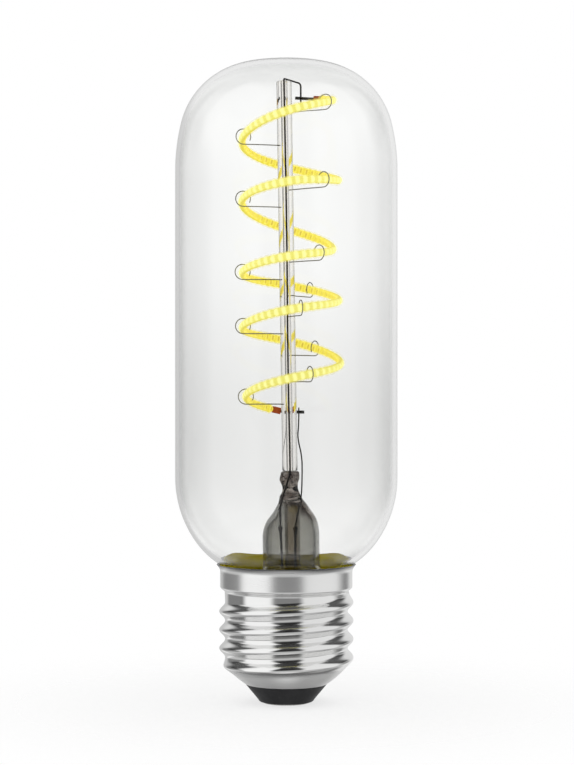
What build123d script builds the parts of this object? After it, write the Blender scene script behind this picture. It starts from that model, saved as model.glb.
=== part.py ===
from build123d import *
import os
from math import acos, atan2, cos, hypot, pi, radians, sin, sqrt, tan

# Tubular filament lamp with a screw cap, standing cap down on its own axis.
# Millimetres, +Z up, front is -Y. The origin is the middle of the centre contact's face.

# Screw cap, pressed from sheet with a rolled thread
sheet = 0.3
thread_pitch = 3.63
thread_crest_radius = 13.2
thread_root_radius = 12.05
thread_root_width = 1.5
thread_crest_width = 0.8
thread_turns = 3.75
thread_fade_turns = 0.3
thread_start_rise = 0.42
thread_start_angle = -110.0
thread_end_room = 0.52
cap_foot_radius = 8.1
cap_foot_height = 3.75
bowl_top_height = 7.35
collar_radius = 13.0
collar_rise = 0.7
collar_height = 3.35
lip_flare = 0.7
lip_rise = 1.2

# Insulator and centre contact
contact_radius = 4.7
contact_thickness = 0.9
contact_drop = 0.35
contact_chamfer = 0.25
insulator_foot_radius = 5.3
insulator_foot_chamfer = 0.4
insulator_ledge_rise = 2.85
insulator_pocket_radius = 5.4
insulator_web = 1.4

# Glass bulb
glass_radius = 21.85
glass_wall = 0.9
wall_length = 60.1
side_blend_radius = 40.0
side_blend_angle = 13.7
shoulder_radius = 15.7
shoulder_end_angle = 80.9
heel_radius = 16.5
heel_angle = 36.0
neck_length = 5.36
throat_rise = 0.39
cement_wall = 1.1
cement_foot_rise = 2.3
cement_top_rise = 0.75

# Stem: flare tube, pinch, post and exhaust tube on one axis that leans a little to the left
stem_foot_rise = 6.0
stem_foot_x = 1.0
stem_lean = 0.88
flare_radius = 5.6
flare_wall = 0.9
flare_rim_height = 1.0
seal_clearance = 0.05
flare_tube_length = 7.0
flare_shoulder_rise = 6.5
flare_shoulder_bulge = 0.9
flare_cavity_rise = 4.6
pinch_width = 4.1
pinch_depth = 2.8
pinch_corner = 0.8
pinch_rise = 5.1
post_radius = 1.5
post_bore_radius = 0.45
post_headroom = 3.0
exhaust_radius = 1.5
exhaust_wall = 0.5
exhaust_length = 21.0
exhaust_tip_chamfer = 0.8
exhaust_offset = 0.3

# Filament: a strip wound in loose turns, listed by drop below the post's top and by radius at each
# quarter turn: back, then from the upper right tip right, front, left, back and so on downwards
coil_centre_x = 0.95
filament_width = 1.65
filament_depth = 1.6
quarter_turns = [
    (2.0, 8.0),
    (3.8, 8.2), (6.9, 9.0), (12.2, 9.7), (16.4, 9.6),
    (19.7, 9.3), (20.7, 9.6), (24.2, 9.7), (28.9, 9.5),
    (33.2, 8.2), (35.1, 9.4), (38.0, 9.6), (40.1, 9.6),
    (43.3, 9.4), (45.4, 9.6), (48.8, 9.6), (51.3, 9.7),
    (55.6, 9.7), (58.6, 9.6), (62.4, 8.9), (65.8, 8.8),
]
filament_first_turn = -0.12
filament_last_turn = 4.68
filament_steps_per_turn = 8
tail_height = 1.3
tail_thickness = 0.25
tail_length = 1.8
terminal_height = 0.6
terminal_thickness = 0.5
terminal_bend_reach = 0.9
terminal_bend = 0.6
terminal_inset = 1.2
terminal_overhang = 0.9
top_weld_x = 2.75
bottom_weld_x = 2.65

# Wires, drawn with a few flat sides
wire_sides = 5
lead_radius = 0.2
lead_bend = 1.2
lead_top_bend = 0.45
lead_top_rise = 0.6
lead_entry_depth = 0.6
lead_fall = 0.7
lead_end_overhang = 0.9
seal_joint_height = 7.7
long_lead_joint = (-2.04, 0.0)
long_lead_seal = (-1.5, 0.0)
short_lead_joint = (0.85, -2.1)
short_lead_exit = (2.2, -0.6)
short_lead_kink = (2.45, 2.6)
short_lead_kink_rise = 2.6
short_lead_neck = 2.6
outer_lead_bend = 2.0
outer_lead_throat_drop = 1.0
outer_lead_stand = 7.4
left_lead_throat = (-0.75, 0.0)
left_lead_foot = (-0.6, 2.4)
right_lead_throat = (1.75, -2.3)
right_lead_foot = (0.9, -2.6)
weld_bead_radius = 0.42
weld_bead_length = 0.9
support_thickness = 0.26
support_eye_radius = 1.5
support_eye_angle = 300.0
support_eye_bends = 7
support_root_depth = 0.8
support_turns = [0.11, 0.46, 1.136, 1.46, 2.147, 2.48, 2.816, 3.22, 3.47, 3.833, 4.19, 4.49]

# Driver on its round board inside the cap
board_clearance = 0.5
board_thickness = 1.0
capacitor_radius = 3.15
capacitor_height = 8.0
capacitor_crimp = 0.3
capacitor_crimp_height = 1.4
capacitor_place = (-5.2, 0.6)
rectifier_size = (4.7, 3.9, 2.5)
rectifier_place = (5.3, -3.8)
chip_size = (4.9, 3.9, 1.5)
chip_place = (0.0, -7.0)
choke_radius = 2.5
choke_waist_radius = 1.7
choke_flange = 0.9
choke_height = 5.2
choke_place = (4.6, 4.4)
package_edge = 0.3
package_leg = (0.9, 0.5, 0.4)
rectifier_legs_each_side = 2
chip_legs_each_side = 4
resistor_radius = 1.2
resistor_length = 3.0
resistor_lead_radius = 0.3
resistor_stand_off = 0.6
lead_hole_clearance = 0.1
shell_wire_inset = 0.9
shell_wire_bend = 0.8
shell_wire_rise = 3.1


def revolved(outline):
    """Turns a closed outline of (radius, height) points round the lamp's axis."""
    with BuildSketch(Plane.XZ) as section:
        with BuildLine():
            Polyline(*outline, close=True)
        make_face()
    return revolve(section.sketch, Axis.Z)


def rod(radius, height):
    """An upright round rod that stands on its own origin."""
    return Cylinder(radius, height, align=(Align.CENTER, Align.CENTER, Align.MIN))


def polygon_wire(path, radius):
    """Draws a wire with a few flat sides along a path."""
    section = Plane(origin=path @ 0, z_dir=path % 0) * RegularPolygon(radius, wire_sides)
    return sweep(section, path=path)


# Cap shell


def bowl_slope():
    """The bowl's run outwards for each unit of height."""
    return (thread_root_radius - cap_foot_radius) / (bowl_top_height - cap_foot_height)


def bowl_inner_foot():
    """The inner edge of the sheet's end at the foot of the bowl."""
    lean = atan2(1, bowl_slope())
    return (cap_foot_radius - sheet * sin(lean), cap_foot_height + sheet * cos(lean))


def bowl_inner_radius(height):
    foot_radius, foot_height = bowl_inner_foot()
    return foot_radius + (height - foot_height) * bowl_slope()


thread_start_height = bowl_top_height + thread_start_rise
thread_top_height = thread_start_height + thread_pitch * thread_turns + thread_end_room
collar_foot_height = thread_top_height + collar_rise
collar_top_height = collar_foot_height + collar_height
lip_height = collar_top_height + lip_rise


def cap_profile():
    """The outer line of the spun wall as (radius, height): bowl, thread root, collar and lip."""
    return Polyline(
        (cap_foot_radius, cap_foot_height),
        (thread_root_radius, bowl_top_height),
        (thread_root_radius, thread_top_height),
        (collar_radius, collar_foot_height),
        (collar_radius, collar_top_height),
        (collar_radius + lip_flare, lip_height),
    )


def cap_wall():
    """The plain spun wall, one sheet thick."""
    section = offset(cap_profile(), amount=sheet, kind=Kind.INTERSECTION, side=Side.LEFT)
    return revolve(Plane.XZ * make_face(section), Axis.Z)


def cap_bore():
    """The room inside the plain wall."""
    inside = offset(cap_profile(), sheet, kind=Kind.INTERSECTION, side=Side.LEFT, closed=False)
    start, end = inside @ 0, inside @ 1
    axis = Polyline(end, (0, end.Y), (0, start.Y), start)
    return revolve(Plane.XZ * make_face(inside.edges() + axis.edges()), Axis.Z)


def thread_section(inset):
    """The thread's ridge in section, set in by the sheet's thickness for its inner side."""
    rise = thread_crest_radius - thread_root_radius
    half_root = (thread_pitch - thread_root_width) / 2
    half_crest = thread_crest_width / 2
    flank = atan2(half_root - half_crest, rise)
    crest_radius = thread_crest_radius - inset
    crest_half = half_crest + inset * tan(flank) - inset / cos(flank)
    sink = sheet / 2
    root_radius = thread_root_radius - sink - inset
    root_half = crest_half + (crest_radius - root_radius) * tan(flank)
    with BuildSketch(Plane.XZ) as section:
        with BuildLine():
            Polyline(
                (root_radius, -root_half),
                (crest_radius, -crest_half),
                (crest_radius, crest_half),
                (root_radius, root_half),
                close=True,
            )
        make_face()
    return section.sketch


def thread_stretch(first_turn, turns, inset):
    """One stretch of the ridge, wound from its first turn."""
    path = Helix(thread_pitch, thread_pitch * turns, thread_root_radius)
    ridge = sweep(thread_section(inset), path=path, is_frenet=True)
    height = thread_start_height + thread_pitch * first_turn
    return Pos(0, 0, height) * Rot(0, 0, thread_start_angle + 360 * first_turn) * ridge


def fading_cylinder(end_turn, inset):
    """An offset cylinder that trims the ridge down to the root at its end."""
    low = thread_root_radius - sheet / 2 - inset
    high = thread_crest_radius + sheet - inset
    angle = radians(thread_start_angle + 360 * end_turn)
    shift = (high - low) / (1 - cos(2 * pi * thread_fade_turns))
    return Pos(-shift * cos(angle), -shift * sin(angle), 0) * rod(low + shift, lip_height)


def thread_ridge(inset):
    """The whole ridge: a full stretch and a fading stretch at each end."""
    run_in = thread_stretch(-thread_fade_turns, thread_fade_turns, inset)
    run_in = run_in & fading_cylinder(-thread_fade_turns, inset)
    full = thread_stretch(0, thread_turns, inset)
    run_out = thread_stretch(thread_turns, thread_fade_turns, inset)
    run_out = run_out & fading_cylinder(thread_turns + thread_fade_turns, inset)
    return [run_in, full, run_out]


def cap_shell():
    """The wall with its thread, rolled through the sheet: a ridge outside and a groove inside."""
    return cap_wall() + thread_ridge(0) - cap_bore() - thread_ridge(sheet)


# Insulator and centre contact


insulator_ledge_height = cap_foot_height + insulator_ledge_rise
insulator_pocket_floor = contact_thickness + insulator_web


def cap_insulator():
    """A pressed cone under the bowl, with a pocket for the resistor and a socket underneath."""
    outer = revolved([
        (0, contact_drop),
        (insulator_foot_radius, contact_drop),
        (cap_foot_radius, cap_foot_height),
        bowl_inner_foot(),
        (bowl_inner_radius(insulator_ledge_height), insulator_ledge_height),
        (0, insulator_ledge_height),
    ])
    foot_edge = outer.edges().filter_by(GeomType.CIRCLE).sort_by(Axis.Z)[0]
    outer = chamfer(foot_edge, insulator_foot_chamfer)
    pocket_depth = insulator_ledge_height - insulator_pocket_floor
    pocket = Pos(0, 0, insulator_pocket_floor) * rod(insulator_pocket_radius, pocket_depth)
    socket = rod(contact_radius, contact_thickness)
    lead_hole = rod(resistor_lead_radius + lead_hole_clearance, insulator_pocket_floor)
    return outer - pocket - socket - lead_hole


def centre_contact():
    disc = rod(contact_radius, contact_thickness)
    edge = disc.edges().filter_by(GeomType.CIRCLE).sort_by(Axis.Z)[0]
    return chamfer(edge, contact_chamfer)


# Glass bulb and capping cement


neck_radius = collar_radius - sheet - cement_wall
throat_height = collar_top_height + throat_rise
neck_foot_height = throat_height - neck_length
heel_centre_radius = (glass_radius - heel_radius) * cos(radians(heel_angle))
heel_centre_height = throat_height + sqrt(heel_radius**2 - (neck_radius - heel_centre_radius) ** 2)
bottom_centre_height = heel_centre_height + (glass_radius - heel_radius) * sin(radians(heel_angle))
wall_top_height = bottom_centre_height + wall_length


def bottom_arcs(inset):
    """The arcs from the throat up to the straight wall: the tighter heel and the round belly."""
    heel = (heel_centre_radius, heel_centre_height)
    throat_angle = -acos((neck_radius - inset - heel[0]) / (heel_radius - inset))
    heel_end = -radians(heel_angle)
    return [
        (heel, heel_radius, throat_angle, heel_end),
        ((0, bottom_centre_height), glass_radius, heel_end, 0),
    ]


def dome_arcs():
    """The arcs from the straight wall up to the crown, as centre, radius and angles."""
    side = (glass_radius - side_blend_radius, wall_top_height)
    start, end = radians(side_blend_angle), radians(shoulder_end_angle)
    blend = side_blend_radius - shoulder_radius
    shoulder = (side[0] + blend * cos(start), side[1] + blend * sin(start))
    crown_radius = shoulder_radius + shoulder[0] / cos(end)
    crown = (0, shoulder[1] - (crown_radius - shoulder_radius) * sin(end))
    return [
        (side, side_blend_radius, 0, start),
        (shoulder, shoulder_radius, start, end),
        (crown, crown_radius, end, pi / 2),
    ]


def bulb_body(inset):
    """The bulb as a full body, set in by the wall's thickness for its inside."""

    def arc_points(centre, radius, first, last):
        reach = radius - inset
        angles = (first, (first + last) / 2, last)
        return [(centre[0] + reach * cos(angle), centre[1] + reach * sin(angle)) for angle in angles]

    bottom = [arc_points(*arc) for arc in bottom_arcs(inset)]
    dome = [arc_points(*arc) for arc in dome_arcs()]
    throat, belly, wall_top, top = bottom[0][0], bottom[-1][-1], dome[0][0], dome[-1][-1]
    with BuildSketch(Plane.XZ) as section:
        with BuildLine():
            Polyline((0, neck_foot_height), (neck_radius - inset, neck_foot_height), throat)
            for points in bottom:
                ThreePointArc(*points)
            Line(belly, wall_top)
            for points in dome:
                ThreePointArc(*points)
            Line(top, (0, neck_foot_height))
        make_face()
    return revolve(section.sketch, Axis.Z)


def glass_bulb():
    return bulb_body(0) - bulb_body(glass_wall)


def capping_cement():
    """The ring of cement that fills the collar round the neck."""
    bore = collar_radius - sheet
    foot = neck_foot_height + cement_foot_rise
    top = collar_top_height + cement_top_rise
    return Pos(0, 0, foot) * rod(bore, top - foot) - bulb_body(0)


# Stem


def on_stem(across, behind, height):
    """A point beside the stem's leaning axis, as a place in the lamp's frame."""
    lean = radians(stem_lean)
    x = stem_foot_x + across * cos(lean) - height * sin(lean)
    z = stem_foot_height + across * sin(lean) + height * cos(lean)
    return Vector(x, behind, z)


stem_foot_height = neck_foot_height + stem_foot_rise
stem_place = Pos(stem_foot_x, 0, stem_foot_height) * Rot(0, -stem_lean, 0)
shoulder_top = flare_tube_length + flare_shoulder_rise
cavity_top = flare_tube_length + flare_cavity_rise
post_foot = shoulder_top + pinch_rise
crown_centre, crown_radius = dome_arcs()[-1][:2]
post_top_height = crown_centre[1] + crown_radius - glass_wall - post_headroom
post_top = (post_top_height - stem_foot_height) / cos(radians(stem_lean))
post_length = post_top - post_foot


def flare_tube():
    """The straight tube, its rounded shoulder and the hollow inside."""
    half_pinch = pinch_width / 2
    middle = ((flare_radius + half_pinch) / 2 + flare_shoulder_bulge, (flare_tube_length + shoulder_top) / 2)
    hollow_radius = flare_radius - flare_wall
    hollow_top = exhaust_radius + exhaust_offset
    with BuildSketch(Plane.XZ) as section:
        with BuildLine():
            Polyline((hollow_radius, 0), (flare_radius, 0), (flare_radius, flare_tube_length))
            ThreePointArc((flare_radius, flare_tube_length), middle, (half_pinch, shoulder_top))
            Polyline(
                (half_pinch, shoulder_top),
                (0, shoulder_top),
                (0, cavity_top),
                (hollow_top, cavity_top),
                (hollow_radius, flare_tube_length),
                (hollow_radius, 0),
            )
        make_face()
    return revolve(section.sketch, Axis.Z)


def pinch():
    """The pressed glass that seals the leads, wider than it is deep."""
    outline = Rectangle(pinch_width, pinch_depth)
    section = chamfer(outline.vertices(), pinch_corner)
    return Pos(0, 0, shoulder_top) * extrude(section, pinch_rise)


def flare_skirt():
    """The flared foot, from the leaning tube out to its seal in the round neck."""
    seal_radius = neck_radius - glass_wall - seal_clearance
    skirt_top = neck_foot_height + flare_rim_height
    tube_end = stem_place * Plane.XY
    walls = []
    for inset in (0, flare_wall):
        rim = Pos(0, 0, neck_foot_height) * rod(seal_radius - inset, flare_rim_height)
        seal = Plane.XY.offset(skirt_top) * Circle(seal_radius - inset)
        cone = loft([seal.face(), (tube_end * Circle(flare_radius - inset)).face()], ruled=True)
        walls.append(rim + cone)
    return walls[0] - walls[1]


def stem_flare(leads):
    """The whole flare in one piece, with the leads sealed through its shoulder and pinch."""
    return flare_skirt() + stem_place * (flare_tube() + pinch()) - leads


def stem_post(supports):
    """The glass tube on the pinch, with a blind hole for each support wire's root."""
    tube = rod(post_radius, post_length) - rod(post_bore_radius, post_length)
    return stem_place * Pos(0, 0, post_foot) * tube - supports


def exhaust_tube():
    """The tube through which the bulb was pumped out, drawn off to a closed round tip."""
    foot = cavity_top - exhaust_length
    tube = rod(exhaust_radius, exhaust_length)
    tip = tube.edges().filter_by(GeomType.CIRCLE).sort_by(Axis.Z)[0]
    tube = chamfer(tip, exhaust_tip_chamfer)
    bore = Pos(0, 0, exhaust_wall) * rod(exhaust_radius - exhaust_wall, exhaust_length)
    return stem_place * Pos(exhaust_offset, 0, foot) * (tube - bore)


# Filament


def along_turns(turn, column):
    """Drop (0) or radius (1) of the strip at a turn, smoothed between the quarter turns."""
    position = turn * 4 + 1
    last = len(quarter_turns) - 1
    index = min(max(int(position // 1), 0), last - 1)
    part = position - index
    near = [quarter_turns[min(max(index + step, 0), last)][column] for step in (-1, 0, 1, 2)]
    before, first, second, after = near
    if index == 0:
        before = 2 * first - second
    if index == last - 1:
        after = 2 * second - first
    slope_in = (second - before) / 2
    slope_out = (after - first) / 2
    rise = second - first
    bend = 3 * rise - 2 * slope_in - slope_out
    twist = slope_in + slope_out - 2 * rise
    return first + part * (slope_in + part * (bend + part * twist))


def strip_point(turn):
    angle = -2 * pi * turn
    radius = along_turns(turn, 1)
    height = post_top_height - along_turns(turn, 0)
    return Vector(coil_centre_x + radius * cos(angle), radius * sin(angle), height)


def filament_path():
    span = filament_last_turn - filament_first_turn
    steps = round(span * filament_steps_per_turn)
    turns = [filament_first_turn + span * step / steps for step in range(steps + 1)]
    return Spline(*[strip_point(turn) for turn in turns])


def strip_end(path, position, heading):
    """A plane across the strip at one end, facing out of it, with its first axis away from the post."""
    point = path @ position
    outwards = Vector(point.X - coil_centre_x, point.Y, 0)
    return Plane(origin=point, x_dir=outwards, z_dir=(path % position) * heading)


def led_filament(path):
    """The strip in its silicone coating, nearly square in section."""
    section = strip_end(path, 0, 1) * Rectangle(filament_depth, filament_width)
    return sweep(section, path=path, is_frenet=True)


def tail(end):
    """A bare end of the strip's film, straight out of the coating."""
    return extrude(end * Rectangle(tail_thickness, tail_height), tail_length, dir=end.z_dir)


def terminal_line(end, weld_x):
    """The tab's line: on from the tail, then level across and in to just past the lead."""
    start = end.origin + end.z_dir * tail_length
    bend = start + end.z_dir * terminal_bend_reach
    side = 1 if weld_x > bend.X else -1
    tip = Vector(weld_x + side * terminal_overhang, bend.Y - terminal_inset, bend.Z)
    return start, bend, tip


def terminal(end, weld_x):
    start, bend, tip = terminal_line(end, weld_x)
    line = FilletPolyline(start, bend, tip, radius=terminal_bend)
    section = Plane(origin=start, x_dir=end.x_dir, z_dir=end.z_dir)
    return sweep(section * Rectangle(terminal_thickness, terminal_height), path=line)


def weld_point(end, weld_x):
    """The lead's axis where it is welded to the front face of the tab."""
    start, bend, tip = terminal_line(end, weld_x)
    run = (tip - bend).normalized()
    across = Vector(-run.Y, run.X, 0)
    if across.Y > 0:
        across = -across
    on_tab = bend + run * ((weld_x - bend.X) / run.X)
    return on_tab + across * (terminal_thickness / 2 + lead_radius)


# Leads


def long_lead(end):
    """From the seal up the post's bore, over its top and down to the upper tab."""
    weld = weld_point(end, top_weld_x)
    over = on_stem(0, 0, post_top + lead_top_rise)
    line = FilletPolyline(
        on_stem(*long_lead_joint, seal_joint_height),
        on_stem(*long_lead_seal, shoulder_top),
        on_stem(0, 0, post_foot - lead_entry_depth),
        over,
        Vector(weld.X, weld.Y, over.Z - lead_fall),
        weld - Vector(0, 0, lead_end_overhang),
        radius=[lead_bend, lead_bend, lead_top_bend, lead_bend],
    )
    return polygon_wire(line, lead_radius)


def short_lead(end):
    """From the seal out of the shoulder, past a kink and up to the lower tab."""
    weld = weld_point(end, bottom_weld_x)
    line = FilletPolyline(
        on_stem(*short_lead_joint, seal_joint_height),
        on_stem(*short_lead_exit, shoulder_top),
        on_stem(*short_lead_kink, post_foot + short_lead_kink_rise),
        weld - Vector(0, 0, short_lead_neck),
        weld + Vector(0, 0, lead_end_overhang),
        radius=lead_bend,
    )
    return polygon_wire(line, lead_radius)


def outer_lead(joint, throat, foot):
    """From a weld bead under the seal down past the exhaust tube to the board."""
    top = on_stem(*joint, seal_joint_height)
    neck = Vector(*throat, stem_foot_height - outer_lead_throat_drop)
    line = FilletPolyline(
        top,
        neck,
        Vector(*foot, board_top + outer_lead_stand),
        Vector(*foot, board_top),
        radius=outer_lead_bend,
    )
    bead_line = Line(top, top + (neck - top).normalized() * weld_bead_length)
    return polygon_wire(line, lead_radius) + polygon_wire(bead_line, weld_bead_radius)


def support_wire(turn):
    """A hook rooted in the post, straight out under the strip and round it in an open eye."""
    target = strip_point(turn)
    level = target.Z - support_eye_radius
    axis_x = stem_foot_x - (level - stem_foot_height) * tan(radians(stem_lean))
    reach = hypot(target.X - axis_x, target.Y)
    out = Vector(target.X - axis_x, target.Y, 0).normalized()
    upright = Plane(origin=(axis_x, 0, level), x_dir=out, z_dir=(out.Y, -out.X, 0))
    root = upright.from_local_coords((post_radius - support_root_depth, 0, 0))
    corners = []
    for bend in range(support_eye_bends + 1):
        angle = radians(support_eye_angle * bend / support_eye_bends)
        across = reach + support_eye_radius * sin(angle)
        corners.append(upright.from_local_coords((across, support_eye_radius * (1 - cos(angle)), 0)))
    hook = Polyline(root, *corners)
    start = Plane(origin=root, x_dir=(0, 0, 1), z_dir=out)
    section = start * Rectangle(support_thickness, support_thickness)
    return sweep(section, path=hook, transition=Transition.RIGHT)


# Driver


board_top = insulator_ledge_height + board_thickness


def driver_board():
    radius = bowl_inner_radius(insulator_ledge_height) - board_clearance
    return Pos(0, 0, insulator_ledge_height) * rod(radius, board_thickness)


def smoothing_capacitor():
    """A rolled can with a crimp near its foot."""
    radius, crimp, height = capacitor_radius, capacitor_crimp, capacitor_crimp_height
    can = revolved([
        (0, 0),
        (radius, 0),
        (radius, height - crimp),
        (radius - crimp, height),
        (radius, height + crimp),
        (radius, capacitor_height),
        (0, capacitor_height),
    ])
    return Pos(*capacitor_place, board_top) * can


def choke_coil():
    """A drum core with its winding in the waist."""
    drum = revolved([
        (0, 0),
        (choke_radius, 0),
        (choke_radius, choke_flange),
        (choke_waist_radius, choke_flange),
        (choke_waist_radius, choke_height - choke_flange),
        (choke_radius, choke_height - choke_flange),
        (choke_radius, choke_height),
        (0, choke_height),
    ])
    return Pos(*choke_place, board_top) * drum


def leaded_package(size, legs_each_side, place):
    """A moulded package on the board with a row of feet along its two long sides."""
    length, width, height = size
    body = Pos(0, 0, height / 2) * Box(length, width, height)
    body = chamfer(body.edges().group_by(Axis.Z)[-1], package_edge)
    leg_length, leg_width, leg_height = package_leg
    spacing = length / legs_each_side
    for index in range(legs_each_side):
        x = (index - (legs_each_side - 1) / 2) * spacing
        for side in (-1, 1):
            leg = Box(leg_width, leg_length, leg_height)
            body = body + Pos(x, side * (width / 2), leg_height / 2) * leg
    return Pos(*place, board_top) * body


def fuse_resistor():
    """A barrel resistor on its own lead, from the centre contact up to the board."""
    foot = insulator_pocket_floor + resistor_stand_off
    top = foot + resistor_length
    return revolved([
        (0, contact_thickness),
        (resistor_lead_radius, contact_thickness),
        (resistor_lead_radius, foot),
        (resistor_radius, foot),
        (resistor_radius, top),
        (resistor_lead_radius, top),
        (resistor_lead_radius, insulator_ledge_height),
        (0, insulator_ledge_height),
    ])


def shell_wire():
    """From the board's edge up and out to the wall of the screw shell."""
    foot_radius = bowl_inner_radius(insulator_ledge_height) - board_clearance - shell_wire_inset
    line = FilletPolyline(
        (foot_radius, 0, board_top),
        (foot_radius, 0, board_top + shell_wire_rise),
        (thread_root_radius - sheet, 0, board_top + shell_wire_rise),
        radius=shell_wire_bend,
    )
    return polygon_wire(line, lead_radius)


# Assembly


strip = filament_path()
upper_end = strip_end(strip, 0, -1)
lower_end = strip_end(strip, 1, 1)
supports = [support_wire(turn) for turn in support_turns]
inner_leads = [long_lead(upper_end), short_lead(lower_end)]

nodes = {
    "glass_bulb": glass_bulb(),
    "stem_flare": stem_flare(inner_leads),
    "stem_post": stem_post(supports),
    "exhaust_tube": exhaust_tube(),
    "long_lead": inner_leads[0],
    "short_lead": inner_leads[1],
    "outer_lead_left": outer_lead(long_lead_joint, left_lead_throat, left_lead_foot),
    "outer_lead_right": outer_lead(short_lead_joint, right_lead_throat, right_lead_foot),
    "led_filament": led_filament(strip),
    "top_tail": tail(upper_end),
    "bottom_tail": tail(lower_end),
    "top_terminal": terminal(upper_end, top_weld_x),
    "bottom_terminal": terminal(lower_end, bottom_weld_x),
    "cap_shell": cap_shell(),
    "cap_insulator": cap_insulator(),
    "centre_contact": centre_contact(),
    "capping_cement": capping_cement(),
    "driver_board": driver_board(),
    "smoothing_capacitor": smoothing_capacitor(),
    "choke_coil": choke_coil(),
    "bridge_rectifier": leaded_package(rectifier_size, rectifier_legs_each_side, rectifier_place),
    "driver_chip": leaded_package(chip_size, chip_legs_each_side, chip_place),
    "fuse_resistor": fuse_resistor(),
    "shell_wire": shell_wire(),
}
for number, support in enumerate(supports, start=1):
    nodes[f"support_wire_{number:02d}"] = support

os.makedirs("parts", exist_ok=True)
for name, solid in nodes.items():
    export_step(solid, f"parts/{name}.step")
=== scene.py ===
import math

import bpy
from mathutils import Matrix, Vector


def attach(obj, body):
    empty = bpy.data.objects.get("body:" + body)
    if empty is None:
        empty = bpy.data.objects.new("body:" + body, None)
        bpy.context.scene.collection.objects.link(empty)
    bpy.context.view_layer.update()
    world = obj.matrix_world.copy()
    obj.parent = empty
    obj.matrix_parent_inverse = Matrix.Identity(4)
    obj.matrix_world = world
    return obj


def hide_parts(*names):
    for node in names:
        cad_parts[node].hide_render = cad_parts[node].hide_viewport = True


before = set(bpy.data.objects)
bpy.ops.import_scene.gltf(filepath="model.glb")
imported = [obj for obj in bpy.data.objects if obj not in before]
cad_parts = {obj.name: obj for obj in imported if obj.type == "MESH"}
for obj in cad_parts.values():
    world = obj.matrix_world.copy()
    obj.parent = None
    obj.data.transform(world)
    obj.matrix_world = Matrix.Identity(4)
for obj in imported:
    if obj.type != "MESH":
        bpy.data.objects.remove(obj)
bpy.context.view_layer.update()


# Screw shell: one thin sheet of bright plated metal, drawn to a cup with a collar and a flared lip.
# The thread is rolled through the sheet, so the wall keeps its thickness. Its lower end fades into
# the bowl, and its upper end runs out into the foot of the collar. Bends are (radius, height).
MM = 0.001
shell_columns = 192
shell_sheet = 0.3
bowl_foot, bowl_top, thread_top = (8.1, 3.75), (12.05, 7.35), (12.05, 21.9)
collar_foot, collar_top = (13.0, 22.6), (13.0, 25.95)
lip_bend, lip_end = (13.2, 26.5), (13.7, 27.15)
shell_bends = [bowl_foot, bowl_top, thread_top, collar_foot, collar_top, lip_bend, lip_end]
shell_bend_reach, shell_slope_reach = 0.2, 0.05
shell_inner_foot = 3.97
bowl_bulge = 0.3
lip_height, lip_round = lip_end[1], 0.1
lip_top = lip_height + lip_round
thread_pitch, thread_turns, thread_fade = 3.63, 3.55, 0.3
thread_foot, thread_angle = 7.77, -110.0
thread_root, thread_rise, thread_sharpness, thread_runout = 12.05, 1.15, 1.1, 0.4
threaded_from, threaded_to, collar_plain_to = 6.6, 23.2, 25.5
inner_lip, inner_collar = 26.6, 25.4
satin_zones = [(bowl_top[1], bowl_top[1] - 0.8, 0.26), (collar_foot[1] - 0.4, collar_foot[1] + 0.3, 0.12)]
# Painted shade and dark reflection: the shell's colour by height, darker towards the lip's cut edge.
lip_painted_shade = [(0.0, 1.0), (26.3, 1.0), (26.6, 0.62), (26.9, 0.45), (27.02, 0.2), (27.25, 0.15)]


def steps(first, last, count):
    """Even steps from first towards last, which is left out."""
    return [first + (last - first) * step / count for step in range(count)]


def around(columns):
    """Even angles round a full turn."""
    return [2 * math.pi * column / columns for column in range(columns)]


def ease(part):
    part = min(max(part, 0.0), 1.0)
    return part * part * (3 - 2 * part)


def radius_at(bends, height):
    for (low_radius, low), (high_radius, high) in zip(bends, bends[1:]):
        if height <= high:
            break
    return low_radius + (high_radius - low_radius) * (height - low) / (high - low)


def thread_ridge(angle, height):
    """How far the rolled thread stands out of the plain wall."""
    turn = (math.degrees(angle) - thread_angle) / 360
    climb = (height - thread_foot) / thread_pitch
    turn += round(climb - turn)
    beside = climb - turn
    fade = min(turn + thread_fade, thread_turns + thread_fade - turn) / thread_fade
    wave = ((1 + math.cos(2 * math.pi * beside)) / 2) ** thread_sharpness
    collar_step = (collar_foot[0] - thread_root) / thread_rise
    if beside > 0 and wave < collar_step:
        wave += (collar_step - wave) * ease((turn - thread_turns + thread_runout) / thread_runout)
    return thread_rise * ease(fade) * wave


def shell_ring(height, inset):
    """A ring of the sheet at one height, set in from its outer face."""
    near = [radius_at(shell_bends, height + part * shell_bend_reach) for part in (-1, -0.5, 0, 0.5, 1)]
    wall = sum(near) / len(near)
    above = radius_at(shell_bends, height + shell_slope_reach)
    below = radius_at(shell_bends, height - shell_slope_reach)
    wall -= inset * math.hypot(1, (above - below) / (2 * shell_slope_reach))
    up_bowl = (height - bowl_foot[1]) / (bowl_top[1] - bowl_foot[1])
    wall += bowl_bulge * 4 * max(up_bowl * (1 - up_bowl), 0.0)
    ring = []
    for angle in around(shell_columns):
        radius = max(wall, min(wall, thread_root) + thread_ridge(angle, height))
        ring.append((radius * math.cos(angle), radius * math.sin(angle), height))
    return ring


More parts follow.
